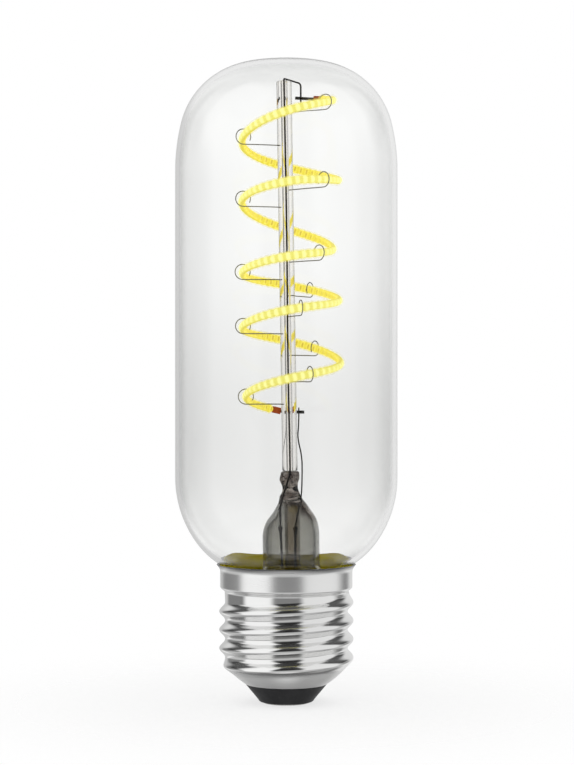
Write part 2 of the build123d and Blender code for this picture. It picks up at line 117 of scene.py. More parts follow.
def skin(name, rings, closed=False, sharp=40):
    """A mesh over rings of points in millimetres; a ring of one point closes an end."""
    points, rows = [], []
    for ring in rings:
        rows.append(range(len(points), len(points) + len(ring)))
        points.extend([coordinate * MM for coordinate in point] for point in ring)
    faces = []
    for low, high in zip(rows, rows[1:] + rows[:1] if closed else rows[1:]):
        count = max(len(low), len(high))
        for column in range(count):
            after = (column + 1) % count
            corners = (low[column % len(low)], low[after % len(low)],
                       high[after % len(high)], high[column % len(high)])
            faces.append(list(dict.fromkeys(corners)))
    mesh = bpy.data.meshes.new(name)
    mesh.from_pydata(points, [], faces)
    mesh.polygons.foreach_set("use_smooth", [True] * len(faces))
    mesh.set_sharp_from_angle(angle=math.radians(sharp))
    piece = bpy.data.objects.new(name, mesh)
    bpy.context.scene.collection.objects.link(piece)
    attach(piece, "root")
    return piece


outer_heights = (steps(bowl_foot[1], threaded_from, 10) + steps(threaded_from, threaded_to, 150)
                 + steps(threaded_to, collar_plain_to, 6) + steps(collar_plain_to, lip_height, 14)
                 + [lip_height])
inner_heights = ([lip_height] + steps(inner_lip, inner_collar, 4)
                 + steps(inner_collar, shell_inner_foot, 110) + [shell_inner_foot])
lip_edge = [(x, y, lip_top) for x, y, _ in shell_ring(lip_height, shell_sheet / 2)]
shell = skin("screw_shell", [shell_ring(height, 0) for height in outer_heights] + [lip_edge]
             + [shell_ring(height, shell_sheet) for height in inner_heights], closed=True)
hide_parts("cap_shell")


class Nodes:
    """Adds nodes to one tree. A source is a number, a colour or another node's output."""

    def __init__(self, tree):
        self.tree = tree

    def feed(self, node, sources):
        for name, source in sources.items():
            socket = node.inputs[name]
            if isinstance(source, bpy.types.NodeSocket):
                self.tree.links.new(source, socket)
            elif socket.type == "RGBA":
                socket.default_value = (*source, 1)
            else:
                socket.default_value = source

    def add(self, kind, sources=None, **settings):
        node = self.tree.nodes.new("ShaderNode" + kind)
        for setting, choice in settings.items():
            setattr(node, setting, choice)
        self.feed(node, sources or {})
        return node

    def place(self):
        return self.add("TexCoord").outputs["Object"]

    def value(self, operation, *sources):
        return self.add("Math", dict(enumerate(sources)), operation=operation).outputs[0]

    def noise(self, place, scale, detail):
        return self.add("TexNoise", {"Vector": place, "Scale": scale, "Detail": detail}).outputs["Fac"]

    def between(self, source, low, high, start=0.0, end=1.0, curve="SMOOTHSTEP"):
        """Goes from start to end while the source goes from low to high."""
        sources = {"Value": source, "From Min": low, "From Max": high, "To Min": start, "To Max": end}
        return self.add("MapRange", sources, interpolation_type=curve).outputs["Result"]

    def over_height(self, low, high, start=0.0, end=1.0, curve="SMOOTHSTEP"):
        """Goes from start to end between two heights in millimetres."""
        height = self.add("SeparateXYZ", {0: self.place()}).outputs["Z"]
        return self.between(height, low * MM, high * MM, start, end, curve)

    def mix(self, factor, first, second, way="MIX"):
        sources = {"Factor": factor, "A": first, "B": second}
        return self.add("Mix", sources, data_type="RGBA", blend_type=way).outputs["Result"]

    def ramp(self, source, stops):
        """A colour ramp; each stop is a place with a grey or a colour."""
        node = self.add("ValToRGB", {"Fac": source})
        elements = node.color_ramp.elements
        while len(elements) < len(stops):
            elements.new(0.5)
        for element, (place, shade) in zip(elements, stops):
            element.position = place
            element.color = (*shade, 1) if isinstance(shade, tuple) else (shade, shade, shade, 1)
        return node.outputs["Color"]

    def relief(self, height, strength, depth):
        sources = {"Strength": strength, "Distance": depth * MM, "Height": height}
        return self.add("Bump", sources).outputs["Normal"]


def new_material(name):
    """A material with its nodes and its own shader."""
    material = bpy.data.materials.new(name)
    material.use_nodes = True
    return material, Nodes(material.node_tree), material.node_tree.nodes["Principled BSDF"]


def feeding(node, socket):
    """What is joined to one of a node's sockets."""
    return node.inputs[socket].links[0].from_socket


def make_grain_group():
    """Fine surface grain: two noises over the piece, stretched along its working direction."""
    group = bpy.data.node_groups.new("surface_grain", "ShaderNodeTree")
    for name, kind in (("Vector", "Vector"), ("Stretch", "Vector"), ("Scale", "Float"), ("Dark", "Color"),
                       ("Light", "Color"), ("Smooth", "Float"), ("Rough", "Float")):
        group.interface.new_socket(name, in_out="INPUT", socket_type="NodeSocket" + kind)
    for name, kind in (("Colour", "Color"), ("Roughness", "Float"), ("Height", "Float")):
        group.interface.new_socket(name, in_out="OUTPUT", socket_type="NodeSocket" + kind)
    nodes = Nodes(group)
    inside = group.nodes.new("NodeGroupInput").outputs
    outside = group.nodes.new("NodeGroupOutput")
    broad_part, half, low, high = 0.12, 0.5, 0.3, 0.7
    stretched = nodes.add("VectorMath", {0: inside["Vector"], 1: inside["Stretch"]}, operation="MULTIPLY")
    fine = nodes.noise(stretched.outputs[0], inside["Scale"], detail=5)
    broad = nodes.noise(inside["Vector"], nodes.value("MULTIPLY", inside["Scale"], broad_part), detail=2)
    both = nodes.value("MULTIPLY_ADD", fine, half, nodes.value("MULTIPLY", broad, half))
    spread = nodes.between(both, low, high, curve="LINEAR")
    rough = nodes.between(both, low, high, inside["Rough"], inside["Smooth"], curve="LINEAR")
    nodes.feed(outside, {"Colour": nodes.mix(spread, inside["Dark"], inside["Light"]),
                         "Roughness": rough, "Height": fine})
    return group


surface_grain = make_grain_group()


def add_grain(nodes, dark, light, scale, stretch, roughness=(0.0, 0.0)):
    """The surface grain laid over one piece."""
    sources = {"Vector": nodes.place(), "Stretch": stretch, "Scale": scale, "Dark": dark, "Light": light,
               "Smooth": roughness[0], "Rough": roughness[1]}
    return nodes.add("Group", sources, node_tree=surface_grain).outputs


def grained(name, dark, light, roughness, scale, stretch=(1, 1, 1), metallic=0.0, specular=0.5, bump=0.1):
    """A material whose colour, gloss and relief all come from the surface grain."""
    material, nodes, shader = new_material(name)
    grain = add_grain(nodes, dark, light, scale, stretch, roughness)
    nodes.feed(shader, {"Base Color": grain["Colour"], "Roughness": grain["Roughness"],
                        "Normal": nodes.relief(grain["Height"], bump, depth=0.02),
                        "Metallic": metallic, "Specular IOR Level": specular})
    return material


def plated_shell():
    """Bright on the rolled thread, softer on the collar, satin on the bowl; painted shade and dark
    reflection darken the lip and its cut edge.
    """
    material = grained("plated_shell", (0.74, 0.74, 0.74), (0.82, 0.82, 0.81), roughness=(0.10, 0.17),
                       scale=260, stretch=(0.08, 0.08, 1.6), metallic=1.0, bump=0.12)
    nodes = Nodes(material.node_tree)
    shader = material.node_tree.nodes["Principled BSDF"]
    rough = feeding(shader, "Roughness")
    for low, high, satin in satin_zones:
        rough = nodes.value("ADD", rough, nodes.over_height(low, high, 0.0, satin, "LINEAR"))
    up_shell = nodes.over_height(0.0, lip_top, curve="LINEAR")
    lip_shade_levels = nodes.ramp(up_shell, [(height / lip_top, level) for height, level in lip_painted_shade])
    shaded = nodes.mix(1.0, feeding(shader, "Base Color"), lip_shade_levels, "MULTIPLY")
    nodes.feed(shader, {"Roughness": rough, "Base Color": shaded})
    return material


shell.data.materials.append(plated_shell())


# Insulator: black glass-like cone cast into the foot of the shell. It grips the shell's edge, keeps
# the centre contact apart from the shell, and has a pocket inside for the fuse resistor.
insulator_columns = 128
insulator_profile = [(0.0, 0.9), (4.72, 0.9), (4.72, 0.2), (4.95, 0.2), (5.2, 0.27), (5.42, 0.45),
                     (5.62, 0.78), (8.05, 3.7), (7.9, 3.97), (10.75, 6.6), (5.4, 6.6), (5.4, 2.3),
                     (0.0, 2.3)]


def turned(profile, columns):
    """Rings round the lamp's axis; a profile is (radius, height) points, and radius 0 closes it."""
    rings = []
    for radius, height in profile:
        angles = around(columns if radius else 1)
        rings.append([(radius * math.cos(angle), radius * math.sin(angle), height) for angle in angles])
    return rings


insulator = skin("insulator", turned(insulator_profile, insulator_columns), sharp=35)
insulator.data.materials.append(grained("black_insulator", (0.008, 0.008, 0.009), (0.015, 0.015, 0.016),
                                        roughness=(0.42, 0.6), scale=700, specular=0.22, bump=0.25))
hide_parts("cap_insulator")


# Centre contact: a tinned disc seated in the foot of the insulator, the lamp's lowest point.
# Its lower edge is rounded off, so that it slides over the spring of a lamp holder.
contact_columns = 96
contact_radius, contact_height, contact_edge, contact_round = 4.7, 0.9, 0.2, 0.06
contact_profile = [(0.0, 0.0), (contact_radius - contact_edge, 0.0),
                   (contact_radius - contact_round, contact_round), (contact_radius, contact_edge),
                   (contact_radius, contact_height), (0.0, contact_height)]
contact = skin("contact_disc", turned(contact_profile, contact_columns), sharp=50)
contact.data.materials.append(grained("tinned_contact", (0.33, 0.32, 0.30), (0.55, 0.54, 0.52),
                                      roughness=(0.28, 0.45), scale=900, metallic=1.0, bump=0.3))
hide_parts("centre_contact")


# Driver: a small round board on the insulator's ledge with its few parts, hidden in the cap.
# These stay the solids of the frame and get their own finishes.
moulded_black = grained("moulded_black", (0.02, 0.02, 0.02), (0.04, 0.04, 0.04),
                        roughness=(0.5, 0.7), scale=900)
driver_finishes = {
    "driver_board": grained("green_board", (0.03, 0.16, 0.06), (0.05, 0.24, 0.09),
                            roughness=(0.3, 0.5), scale=500),
    "smoothing_capacitor": grained("capacitor_sleeve", (0.02, 0.02, 0.05), (0.05, 0.05, 0.09),
                                   roughness=(0.25, 0.4), scale=300),
    "choke_coil": grained("dark_ferrite", (0.05, 0.05, 0.05), (0.10, 0.10, 0.10),
                          roughness=(0.5, 0.75), scale=800, bump=0.4),
    "bridge_rectifier": moulded_black,
    "driver_chip": moulded_black,
    "fuse_resistor": grained("resistor_glaze", (0.10, 0.26, 0.30), (0.16, 0.36, 0.40),
                             roughness=(0.25, 0.4), scale=500),
    "shell_wire": grained("wire_cover", (0.55, 0.54, 0.50), (0.68, 0.67, 0.63),
                          roughness=(0.4, 0.6), scale=600),
}


def refinish(node, finish):
    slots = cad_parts[node].data.materials
    slots.clear()
    slots.append(finish)


for node, finish in driver_finishes.items():
    refinish(node, finish)


# Stem flare: a glass tube with a wide skirt, which is melted into the neck of the bulb. Its upper end
# is heated, drawn in to a shoulder and pinched flat round the two leads, which leaves it twisted.
# Profiles are (radius, height above the foot of the stem).
stem_foot = Vector((1.0, 0.0, 26.98))
stem_lean = math.radians(0.88)
flare_columns, tube_columns = 96, 48
flare_outside = [(10.3, -6.0), (10.6, -5.7), (10.6, -5.3), (10.0, -4.8), (8.2, -3.6), (6.7, -2.3),
                 (5.95, -1.3), (5.65, -0.2), (5.6, 1.0), (5.6, 3.0), (5.6, 4.6)]
flare_inside = [(4.7, 4.0), (4.7, 3.0), (4.7, 1.0), (4.75, -0.2), (5.1, -1.3), (5.9, -2.3), (7.4, -3.6),
                (9.2, -4.9), (9.7, -5.4), (9.8, -5.8)]
shoulder_right = [(5.6, 6.4), (5.42, 7.6), (5.1, 8.9), (4.6, 10.1), (3.95, 11.1), (3.2, 12.0), (2.5, 12.8),
                  (2.15, 13.5)]
shoulder_left = [(5.6, 5.9), (5.35, 7.1), (4.92, 8.2), (4.3, 9.3), (3.55, 10.3), (2.85, 11.3), (2.35, 12.3),
                 (2.15, 13.5)]
shoulder_top, shoulder_rows, shoulder_lump = 13.5, 28, 0.03
shoulder_wall, shoulder_wall_foot = 0.75, 0.15
cavity_top, cavity_shoulder, cavity_across = 11.9, 0.86, 0.1
pinch_top, pinch_crown, pinch_rows, pinch_lump = 18.5, 0.05, 26, 0.09
pinch_round, pinch_flat, pinch_end = 2.15, 1.25, 1.5
pinch_waist, pinch_taper, pinch_swell = 0.6, 0.2, 0.35
pinch_twist, pinch_level_at = math.radians(75), 0.4
oxide_tilt, oxide_from, oxide_to = 0.55, 10.6, 12.3
oxide_stops = [(0.4, (0.035, 0.025, 0.02)), (0.68, (0.52, 0.47, 0.42))]
stem_ior = 1.54


def on_stem(across, behind, height):
    return (stem_foot.x + across * math.cos(stem_lean) - height * math.sin(stem_lean), behind,
            stem_foot.z + across * math.sin(stem_lean) + height * math.cos(stem_lean))


def stem_ring(radius, height, across=0.0, columns=tube_columns):
    return [on_stem(across + radius * math.cos(angle), radius * math.sin(angle), height)
            for angle in around(columns)]


def smooth_between(values, place):
    """The value at a place along a list, on a smooth curve through its members."""
    index = min(max(int(place), 0), len(values) - 2)
    part = place - index
    first, second = values[index], values[index + 1]
    before = values[index - 1] if index else 2 * first - second
    after = values[index + 2] if index + 2 < len(values) else 2 * second - first
    slope_in, slope_out, rise = (second - before) / 2, (after - first) / 2, second - first
    bend, twist = 3 * rise - 2 * slope_in - slope_out, slope_in + slope_out - 2 * rise
    return first + part * (slope_in + part * (bend + part * twist))


def shoulder_ring(part, inset=0.0):
    """A ring of the shoulder, softly lumped by the flame, lower on the left than on the right."""
    place = part * (len(shoulder_right) - 1)
    right, left = [[smooth_between([point[column] for point in side], place) for column in (0, 1)]
                   for side in (shoulder_right, shoulder_left)]
    lump = shoulder_lump * ease(part * 1.6) * ease((1 - part) * 3)
    ring = []
    for angle in around(flare_columns):
        leftward = (1 - math.cos(angle)) / 2
        radius = right[0] + (left[0] - right[0]) * leftward - inset
        height = right[1] + (left[1] - right[1]) * leftward - inset * 0.9 * part
        radius *= 1 + lump * (math.sin(2 * angle + 9 * part) + 0.6 * math.sin(3 * angle - 5 * part + 1))
        ring.append(on_stem(radius * math.cos(angle), radius * math.sin(angle), height))
    return ring


def pinch_ring(part):
    """A ring of the pinch, which narrows to a waist, goes flat and turns on its way up."""
    height = shoulder_top + (pinch_top - shoulder_top) * part
    wide = pinch_round - pinch_waist * math.sin(math.pi * min(part * 1.5, 1.0)) - pinch_taper * part
    thin = pinch_round + (pinch_flat - pinch_round) * ease(part * 2.2) + pinch_swell * ease(part * 2 - 1)
    twist = pinch_twist * (part - pinch_level_at)
    ring = []
    for angle in around(flare_columns):
        lump = 1 + pinch_lump * ease(part * 4) * math.sin(3 * angle + 9 * part) * ease((1 - part) * 5)
        across, behind = wide * lump * math.cos(angle), thin * lump * math.sin(angle)
        ring.append(on_stem(across * math.cos(twist) - behind * math.sin(twist),
                            across * math.sin(twist) + behind * math.cos(twist), height))
    return ring


flare_rings = [[on_stem(cavity_across, 0, cavity_top)]]
flare_rings += [shoulder_ring(part, shoulder_wall + shoulder_wall_foot * (1 - part))
                for part in steps(cavity_shoulder, 0.0, shoulder_rows)]
flare_rings += [stem_ring(*place, columns=flare_columns) for place in flare_inside + flare_outside]
flare_rings += [shoulder_ring(part) for part in steps(0.0, 1.0, shoulder_rows)]
flare_rings += [pinch_ring(part) for part in steps(0.0, 1.0, pinch_rows)]
flare_rings += [stem_ring(pinch_end, pinch_top, columns=flare_columns)]
flare_rings += [[on_stem(0, 0, pinch_top + pinch_crown)]]
flare = skin("stem_flare_glass", flare_rings, sharp=60)


def drawn_glass(name, dark, light, edges, ior=stem_ior, scale=60, relief=0.02, shade=None):
    """Glass with a faint unevenness in its tint and wall, greyer where it is seen along the wall, partly for
    the longer path through the glass and partly as painted dark reflection.
    shade may change both tints, of the glass and of its edges, over the piece."""
    material, nodes, shader = new_material(name)
    grain = add_grain(nodes, dark, light, scale, stretch=(1, 1, 0.3))
    glass_tint = grain["Colour"]
    # Darker at grazing view: partly the longer path through the glass, partly painted dark reflection.
    edge_path_and_reflection = nodes.ramp(nodes.add("LayerWeight").outputs["Facing"], edges)
    if shade:
        glass_tint, edge_path_and_reflection = shade(nodes, glass_tint, edge_path_and_reflection)
    nodes.feed(shader, {"Base Color": nodes.mix(1.0, glass_tint, edge_path_and_reflection, "MULTIPLY"),
                        "Normal": nodes.relief(grain["Height"], relief, depth=0.2),
                        "Transmission Weight": 1.0, "Roughness": 0.0, "IOR": ior,
                        "Specular Tint": (0.4, 0.4, 0.4)})
    return material


def pinched_glass():
    """The smoky glass of the flare, brown and blotched where the pinch has taken up the wires' oxide."""
    material = drawn_glass("flare_glass_smoky", (0.43, 0.425, 0.40), (0.60, 0.60, 0.57),
                           [(0.0, 1.0), (0.3, 0.92), (0.6, 0.6), (0.85, 0.35), (1.0, 0.2)],
                           scale=120, relief=0.04)
    nodes = Nodes(material.node_tree)
    shader = material.node_tree.nodes["Principled BSDF"]
    slanted = {0: nodes.place(), 1: (oxide_tilt, 0.0, 1.0)}
    height = nodes.add("VectorMath", slanted, operation="DOT_PRODUCT").outputs["Value"]
    foot = stem_foot.z + oxide_tilt * stem_foot.x
    in_pinch = nodes.between(height, (foot + oxide_from) * MM, (foot + oxide_to) * MM)
    oxide = nodes.ramp(nodes.noise(nodes.place(), scale=750, detail=3), oxide_stops)
    nodes.feed(shader, {"Base Color": nodes.mix(in_pinch, feeding(shader, "Base Color"), oxide)})
    return material


flare.data.materials.append(pinched_glass())
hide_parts("stem_flare")


# Exhaust tube: the thin glass tube inside the flare, through which the bulb was pumped and filled.
# Its lower tip is melted shut, down inside the cap.
exhaust_outside, exhaust_inside, exhaust_length, exhaust_across = 1.5, 1.0, 21.0, 0.3
exhaust_rows = 10
exhaust_tip = cavity_top - exhaust_length
bore_tip, bore_round = exhaust_tip + 0.8, 0.4
tip_rounding = [(0.9, 0.5), (0.5, 0.1)]
bore_heights = [bore_tip + bore_round] + steps(exhaust_tip + 2, cavity_top, exhaust_rows) + [cavity_top]
tube_heights = [cavity_top] + steps(cavity_top - 0.3, exhaust_tip + 1, exhaust_rows)
exhaust_profile = [(exhaust_inside, height) for height in bore_heights]
exhaust_profile += [(exhaust_outside, height) for height in tube_heights]
exhaust_profile += [(exhaust_outside * share, exhaust_tip + rise) for share, rise in tip_rounding]
exhaust_rings = [[on_stem(exhaust_across, 0, bore_tip)]]
exhaust_rings += [stem_ring(radius, height, exhaust_across) for radius, height in exhaust_profile]
exhaust_rings += [[on_stem(exhaust_across, 0, exhaust_tip)]]
exhaust = skin("exhaust_tube_glass", [ring[::-1] for ring in exhaust_rings], sharp=60)
exhaust.data.materials.append(drawn_glass("exhaust_glass", (0.70, 0.64, 0.56), (0.82, 0.77, 0.70),
                                          [(0.0, 1.0), (0.4, 0.9), (0.75, 0.4), (1.0, 0.15)]))
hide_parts("exhaust_tube")


# Post: a drawn glass tube fused to the top of the pinch. The long lead runs up its bore, and the hooks
# are pressed into its softened wall. Both its ends are rounded by the flame.
post_outside, post_bore, post_foot, post_top = 1.5, 0.45, 18.6, 95.41
post_rows, post_foot_round = 40, 0.1
post_rim, bore_rim, bore_start = [(0.0, 0.25), (0.08, 0.07), (0.25, 0.0)], [(0.1, 0.0), (0.0, 0.1)], 0.5
wall_heights = steps(post_foot + post_foot_round, post_top - post_rim[0][1], post_rows)
bore_heights = steps(post_top - bore_start, post_foot, post_rows) + [post_foot]
post_profile = [(post_outside - post_foot_round, post_foot)]
post_profile += [(post_outside, height) for height in wall_heights]
post_profile += [(post_outside - inwards, post_top - below) for inwards, below in post_rim]
post_profile += [(post_bore + outwards, post_top - below) for outwards, below in bore_rim]
post_profile += [(post_bore, height) for height in bore_heights]
post = skin("post_glass", [stem_ring(*place) for place in post_profile], closed=True, sharp=60)
# The post's edges: darker at grazing view, partly painted dark reflection.
post_edges = [(0.0, 1.0), (0.25, 0.95), (0.5, 0.65), (0.75, 0.4), (1.0, 0.2)]
post.data.materials.append(drawn_glass("post_glass_clear", (0.95, 0.93, 0.90), (0.99, 0.975, 0.955),
                                       post_edges))
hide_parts("stem_post")


# Leads: nickel-plated wire. The long one comes up over the front of the pinch, runs inside the post and
# goes over its top to the upper end of the strip. The short one stands beside the post, and two outer ones,
# welded on below the pinch, go down to the driver board.
lead_radius, long_lead_radius, short_lead_radius = 0.24, 0.18, 0.14
weld_x, weld_y, weld_height = 2.91, 6.11, 119.87
low_weld_x, low_weld_y, low_weld_height = 2.52, 7.64, 56.97
weld_overhang, short_lead_neck = 0.9, 2.6
seal_height, board_top, outer_lead_stand, lead_rise = 7.7, 7.6, 7.4, 0.6
outer_lead_foot = board_top + outer_lead_stand
lead_level = on_stem(0, 0, post_top + lead_rise)[2]
long_lead_stem = [(-2.04, 0, seal_height), (-1.9, -1.3, 11.0), (-1.6, -1.55, 13.2), (-0.75, -1.45, 15.6),
                  (-0.15, -1.2, 17.6), (0.0, -0.1, 18.5), (0.05, 0, 20.0), (-0.1, 0.05, 40), (0.12, 0, 65),
                  (0, 0, post_top - 1), (0, 0, post_top + 0.2), (0, 0, post_top + lead_rise)]
long_lead_end = [(0.2, weld_y * 0.2, lead_level), (weld_x - 1.2, weld_y * 0.7, lead_level),
                 (weld_x, weld_y, lead_level - 0.05), (weld_x, weld_y, lead_level - 1.5),
                 (weld_x, weld_y, weld_height - weld_overhang)]
short_lead_stem = [(0.85, -2.1, seal_height), (1.6, -1.4, 11.0), (2.2, -0.6, 13.5), (2.4, 1.0, 17.6),
                   (2.45, 2.6, 21.2)]
short_lead_end = [(2.2, 5.6, 52.0), (low_weld_x, low_weld_y, low_weld_height - short_lead_neck),
                  (low_weld_x, low_weld_y, low_weld_height + weld_overhang)]
left_lead_stem = [(-2.04, 0, seal_height), (-2.05, 0, seal_height - 0.25), (-2.05, 0, seal_height - 0.65),
                  (-2.02, 0, seal_height - 1.1), (-1.75, 0, -1.0)]
left_lead_end = [(-0.6, 2.4, outer_lead_foot), (-0.6, 2.4, board_top)]
right_lead_stem = [(0.85, -2.1, seal_height), (0.85, -2.1, seal_height - 0.25),
                   (0.85, -2.1, seal_height - 0.65), (0.85, -2.12, seal_height - 1.1), (0.75, -2.3, -1.0)]
right_lead_end = [(0.9, -2.6, outer_lead_foot), (0.9, -2.6, board_top)]
weld_bead = {1: 1.9, 2: 1.9}


def wire(name, points, radius, material, fineness=4, swells=None):
    """A round wire; swells gives the points where it is thicker, as at a weld."""
    curve = bpy.data.curves.new(name, "CURVE")
    curve.dimensions = "3D"
    curve.bevel_depth = radius * MM
    curve.bevel_resolution = fineness
    curve.use_fill_caps = True
    curve.resolution_u = 8
    line = curve.splines.new("NURBS")
    line.points.add(len(points) - 1)
    for knot, point in zip(line.points, points):
        knot.co = (*[coordinate * MM for coordinate in point], 1)
    for index, swell in (swells or {}).items():
        line.points[index].radius = swell
    line.order_u = 3
    line.use_endpoint_u = True
    piece = bpy.data.objects.new(name, curve)
    bpy.context.scene.collection.objects.link(piece)
    curve.materials.append(material)
    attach(piece, "root")
    return piece


lead_finish = grained("lead_plating", (0.015, 0.014, 0.013), (0.045, 0.04, 0.036),
                      roughness=(0.3, 0.5), scale=900, stretch=(1, 1, 0.2), metallic=1.0)
for name, node, stem_places, end_points, radius, swells in (
        ("lead_long", "long_lead", long_lead_stem, long_lead_end, long_lead_radius, None),
        ("lead_short", "short_lead", short_lead_stem, short_lead_end, short_lead_radius, None),
        ("lead_outer_left", "outer_lead_left", left_lead_stem, left_lead_end, lead_radius, weld_bead),
        ("lead_outer_right", "outer_lead_right", right_lead_stem, right_lead_end, lead_radius, weld_bead)):
    points = [on_stem(*place) for place in stem_places] + end_points
    lead = wire(name, points, radius, lead_finish, swells=swells)
    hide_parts(node)


# Filament: a flexible strip of small light-emitting chips under yellow silicone, wound to an uneven spiral
# of four and three quarter turns. The chips show as pale beads outside and as small dots inside. Stations
# lie a quarter turn apart, each with its drop from the top and its radius.
spiral_across, spiral_top = 0.95, 122.39
spiral_first, spiral_last, spiral_samples, rounded_samples = -0.12, 4.68, 2200, 4
spiral_stations = [(2.0, 8.0), (3.8, 8.2), (6.9, 9.0), (12.2, 9.7), (16.4, 9.6), (19.7, 9.3), (20.7, 9.6),
                   (24.2, 9.7), (28.9, 9.5), (33.2, 8.2), (35.1, 9.4), (38.0, 9.6), (40.1, 9.6), (43.3, 9.4),
                   (45.4, 9.6), (48.8, 9.6), (51.3, 9.7), (55.6, 9.7), (58.6, 9.6), (62.4, 8.9), (65.8, 8.8)]
core_half_width, core_half_depth, core_sides = 0.72, 0.70, 14
coat_half_width, coat_half_depth, coat_sides = 1.08, 1.06, 18
# These fades thin the outer coat by view angle into a painted glow halo round the lit strip.
glow_halo_fades = [(0.14, 1.0), (0.28, 0.45), (0.5, 0.18), (1.0, 0.0)]
chip_pitch, chip_swell = 1.4, 0.03
silicone_front, silicone_side, silicone_back = (0.77, 0.72, 0.15), (0.64, 0.555, 0.06), (0.78, 0.65, 0.05)
bead_front, bead_back, chip_dot = (0.98, 0.95, 0.36), (0.93, 0.82, 0.13), (0.61, 0.46, 0.04)
silicone_unlit = (0.04, 0.035, 0.01)
glow_strength = 1.15


def between_stations(turn, column):
    return smooth_between([station[column] for station in spiral_stations], 4 * turn + 1)


def on_spiral(turn, outwards=0.0):
    angle = -2 * math.pi * turn
    radius = between_stations(turn, 1) + outwards
    return Vector((spiral_across + radius * math.cos(angle), radius * math.sin(angle),
                   spiral_top - between_stations(turn, 0)))


def strip_tube(name, half_width, half_depth, sides):
    """A round strip along the spiral, which keeps each point's place along the chips and its facing."""
    turns = steps(spiral_first, spiral_last, spiral_samples) + [spiral_last]
    line = [on_spiral(turn) for turn in turns]
    angles = around(sides)
    rings, chip_places = [], []
    length = 0.0
    for sample, (turn, centre) in enumerate(zip(turns, line)):
        ahead = (line[min(sample + 1, spiral_samples)] - line[max(sample - 1, 0)]).normalized()
        if sample:
            length += (centre - line[sample - 1]).length
        outward = on_spiral(turn, 1.0) - centre
        outward = (outward - ahead * outward.dot(ahead)).normalized()
        upward = ahead.cross(outward)
        bead = 1 + chip_swell * math.cos(2 * math.pi * (length / chip_pitch - 0.5))
        from_end = min(sample, spiral_samples - sample) / rounded_samples
        bead *= math.sqrt(min(1.0, 0.25 + 0.75 * from_end))
        rings.append([tuple(centre + outward * (half_depth * bead * math.cos(angle))
                            + upward * (half_width * bead * math.sin(angle))) for angle in angles])
        chip_places.append(length / chip_pitch)
    piece = skin(name, [[tuple(line[0])]] + rings + [[tuple(line[-1])]], sharp=70)
    along = [place for place in chip_places for _ in angles]
    facing = [math.cos(angle) for _ in chip_places for angle in angles]
    for attribute, values in (("chip_along", [chip_places[0]] + along + [chip_places[-1]]),
                              ("chip_facing", [0.0] + facing + [0.0])):
        piece.data.attributes.new(attribute, "FLOAT", "POINT").data.foreach_set("value", values)
    return piece


def glowing_strip(name, halo_fades=None):
    """Lit silicone with pale beads over the chips; fades thin it at the strip's outline into a painted glow
    halo.
    """
    material, nodes, shader = new_material(name)
    along = nodes.add("Attribute", attribute_name="chip_along").outputs["Fac"]
    facing = nodes.add("Attribute", attribute_name="chip_facing").outputs["Fac"]
    off_chip = nodes.value("ABSOLUTE", nodes.value("SUBTRACT", nodes.value("FRACT", along), 0.5))

    def spot(off_chip_band, facing_band):
        return nodes.value("MULTIPLY", nodes.between(off_chip, *off_chip_band),
                           nodes.between(facing, *facing_band))

    outer_bead = spot((0.42, 0.06), (0.45, 0.95))
    inner_bead = spot((0.46, 0.1), (-0.3, -0.8))
    inner_dot = spot((0.24, 0.06), (-0.8, -0.97))
    outside = nodes.mix(nodes.between(facing, 0.15, 0.85), silicone_side, silicone_front)
    silicone = nodes.mix(nodes.between(facing, 0.1, -0.6), outside, silicone_back)
    lit = nodes.mix(inner_bead, nodes.mix(outer_bead, silicone, bead_front), bead_back)
    nodes.feed(shader, {"Emission Color": nodes.mix(inner_dot, lit, chip_dot),
                        "Emission Strength": glow_strength, "Base Color": silicone_unlit, "Roughness": 0.45})
    if halo_fades:
        painted_glow_halo = nodes.ramp(nodes.add("LayerWeight").outputs["Facing"], halo_fades)
        nodes.feed(shader, {"Alpha": painted_glow_halo})
    return material


core = strip_tube("filament_chips", core_half_width, core_half_depth, core_sides)
core.data.materials.append(glowing_strip("glowing_chips"))
# The outer coat is the silicone's surface, faded at its outline into a painted glow halo.
strip = strip_tube("filament_strip", coat_half_width, coat_half_depth, coat_sides)
strip.data.materials.append(glowing_strip("glowing_silicone", glow_halo_fades))
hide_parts("led_filament")


# Hooks: twelve thin wires pressed into the post. Each runs straight out to the strip and is bent round it
# to an open eye.
hook_radius, hook_root_depth, hook_arch = 0.1, 0.8, 0.05
hook_eye_radius, hook_eye_turn, hook_bends = 1.5, math.radians(300), 16
hook_turns = [0.11, 0.46, 1.136, 1.46, 2.147, 2.48, 2.816, 3.22, 3.47, 3.833, 4.19, 4.49]
hook_finish = grained("hook_wire", (0.16, 0.155, 0.15), (0.36, 0.35, 0.335),
                      roughness=(0.3, 0.5), scale=900, metallic=1.0)
for number, turn in enumerate(hook_turns, 1):
    centre = on_spiral(turn)
    level = centre.z - hook_eye_radius
    post_x = on_stem(0, 0, level - stem_foot.z)[0]
    out = Vector((centre.x - post_x, centre.y, 0))
    reach = out.length
    out.normalize()
    bends = [(post_outside - hook_root_depth, 0.0), (reach / 2, hook_arch)]
    for angle in steps(0.0, hook_eye_turn, hook_bends) + [hook_eye_turn]:
        bends.append((reach + hook_eye_radius * math.sin(angle), hook_eye_radius * (1 - math.cos(angle))))
    points = [(post_x + out.x * across, out.y * across, level + rise) for across, rise in bends]
    hook = wire(f"hook_{number:02d}", points, hook_radius, hook_finish, fineness=2)
    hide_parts(f"support_wire_{number:02d}")


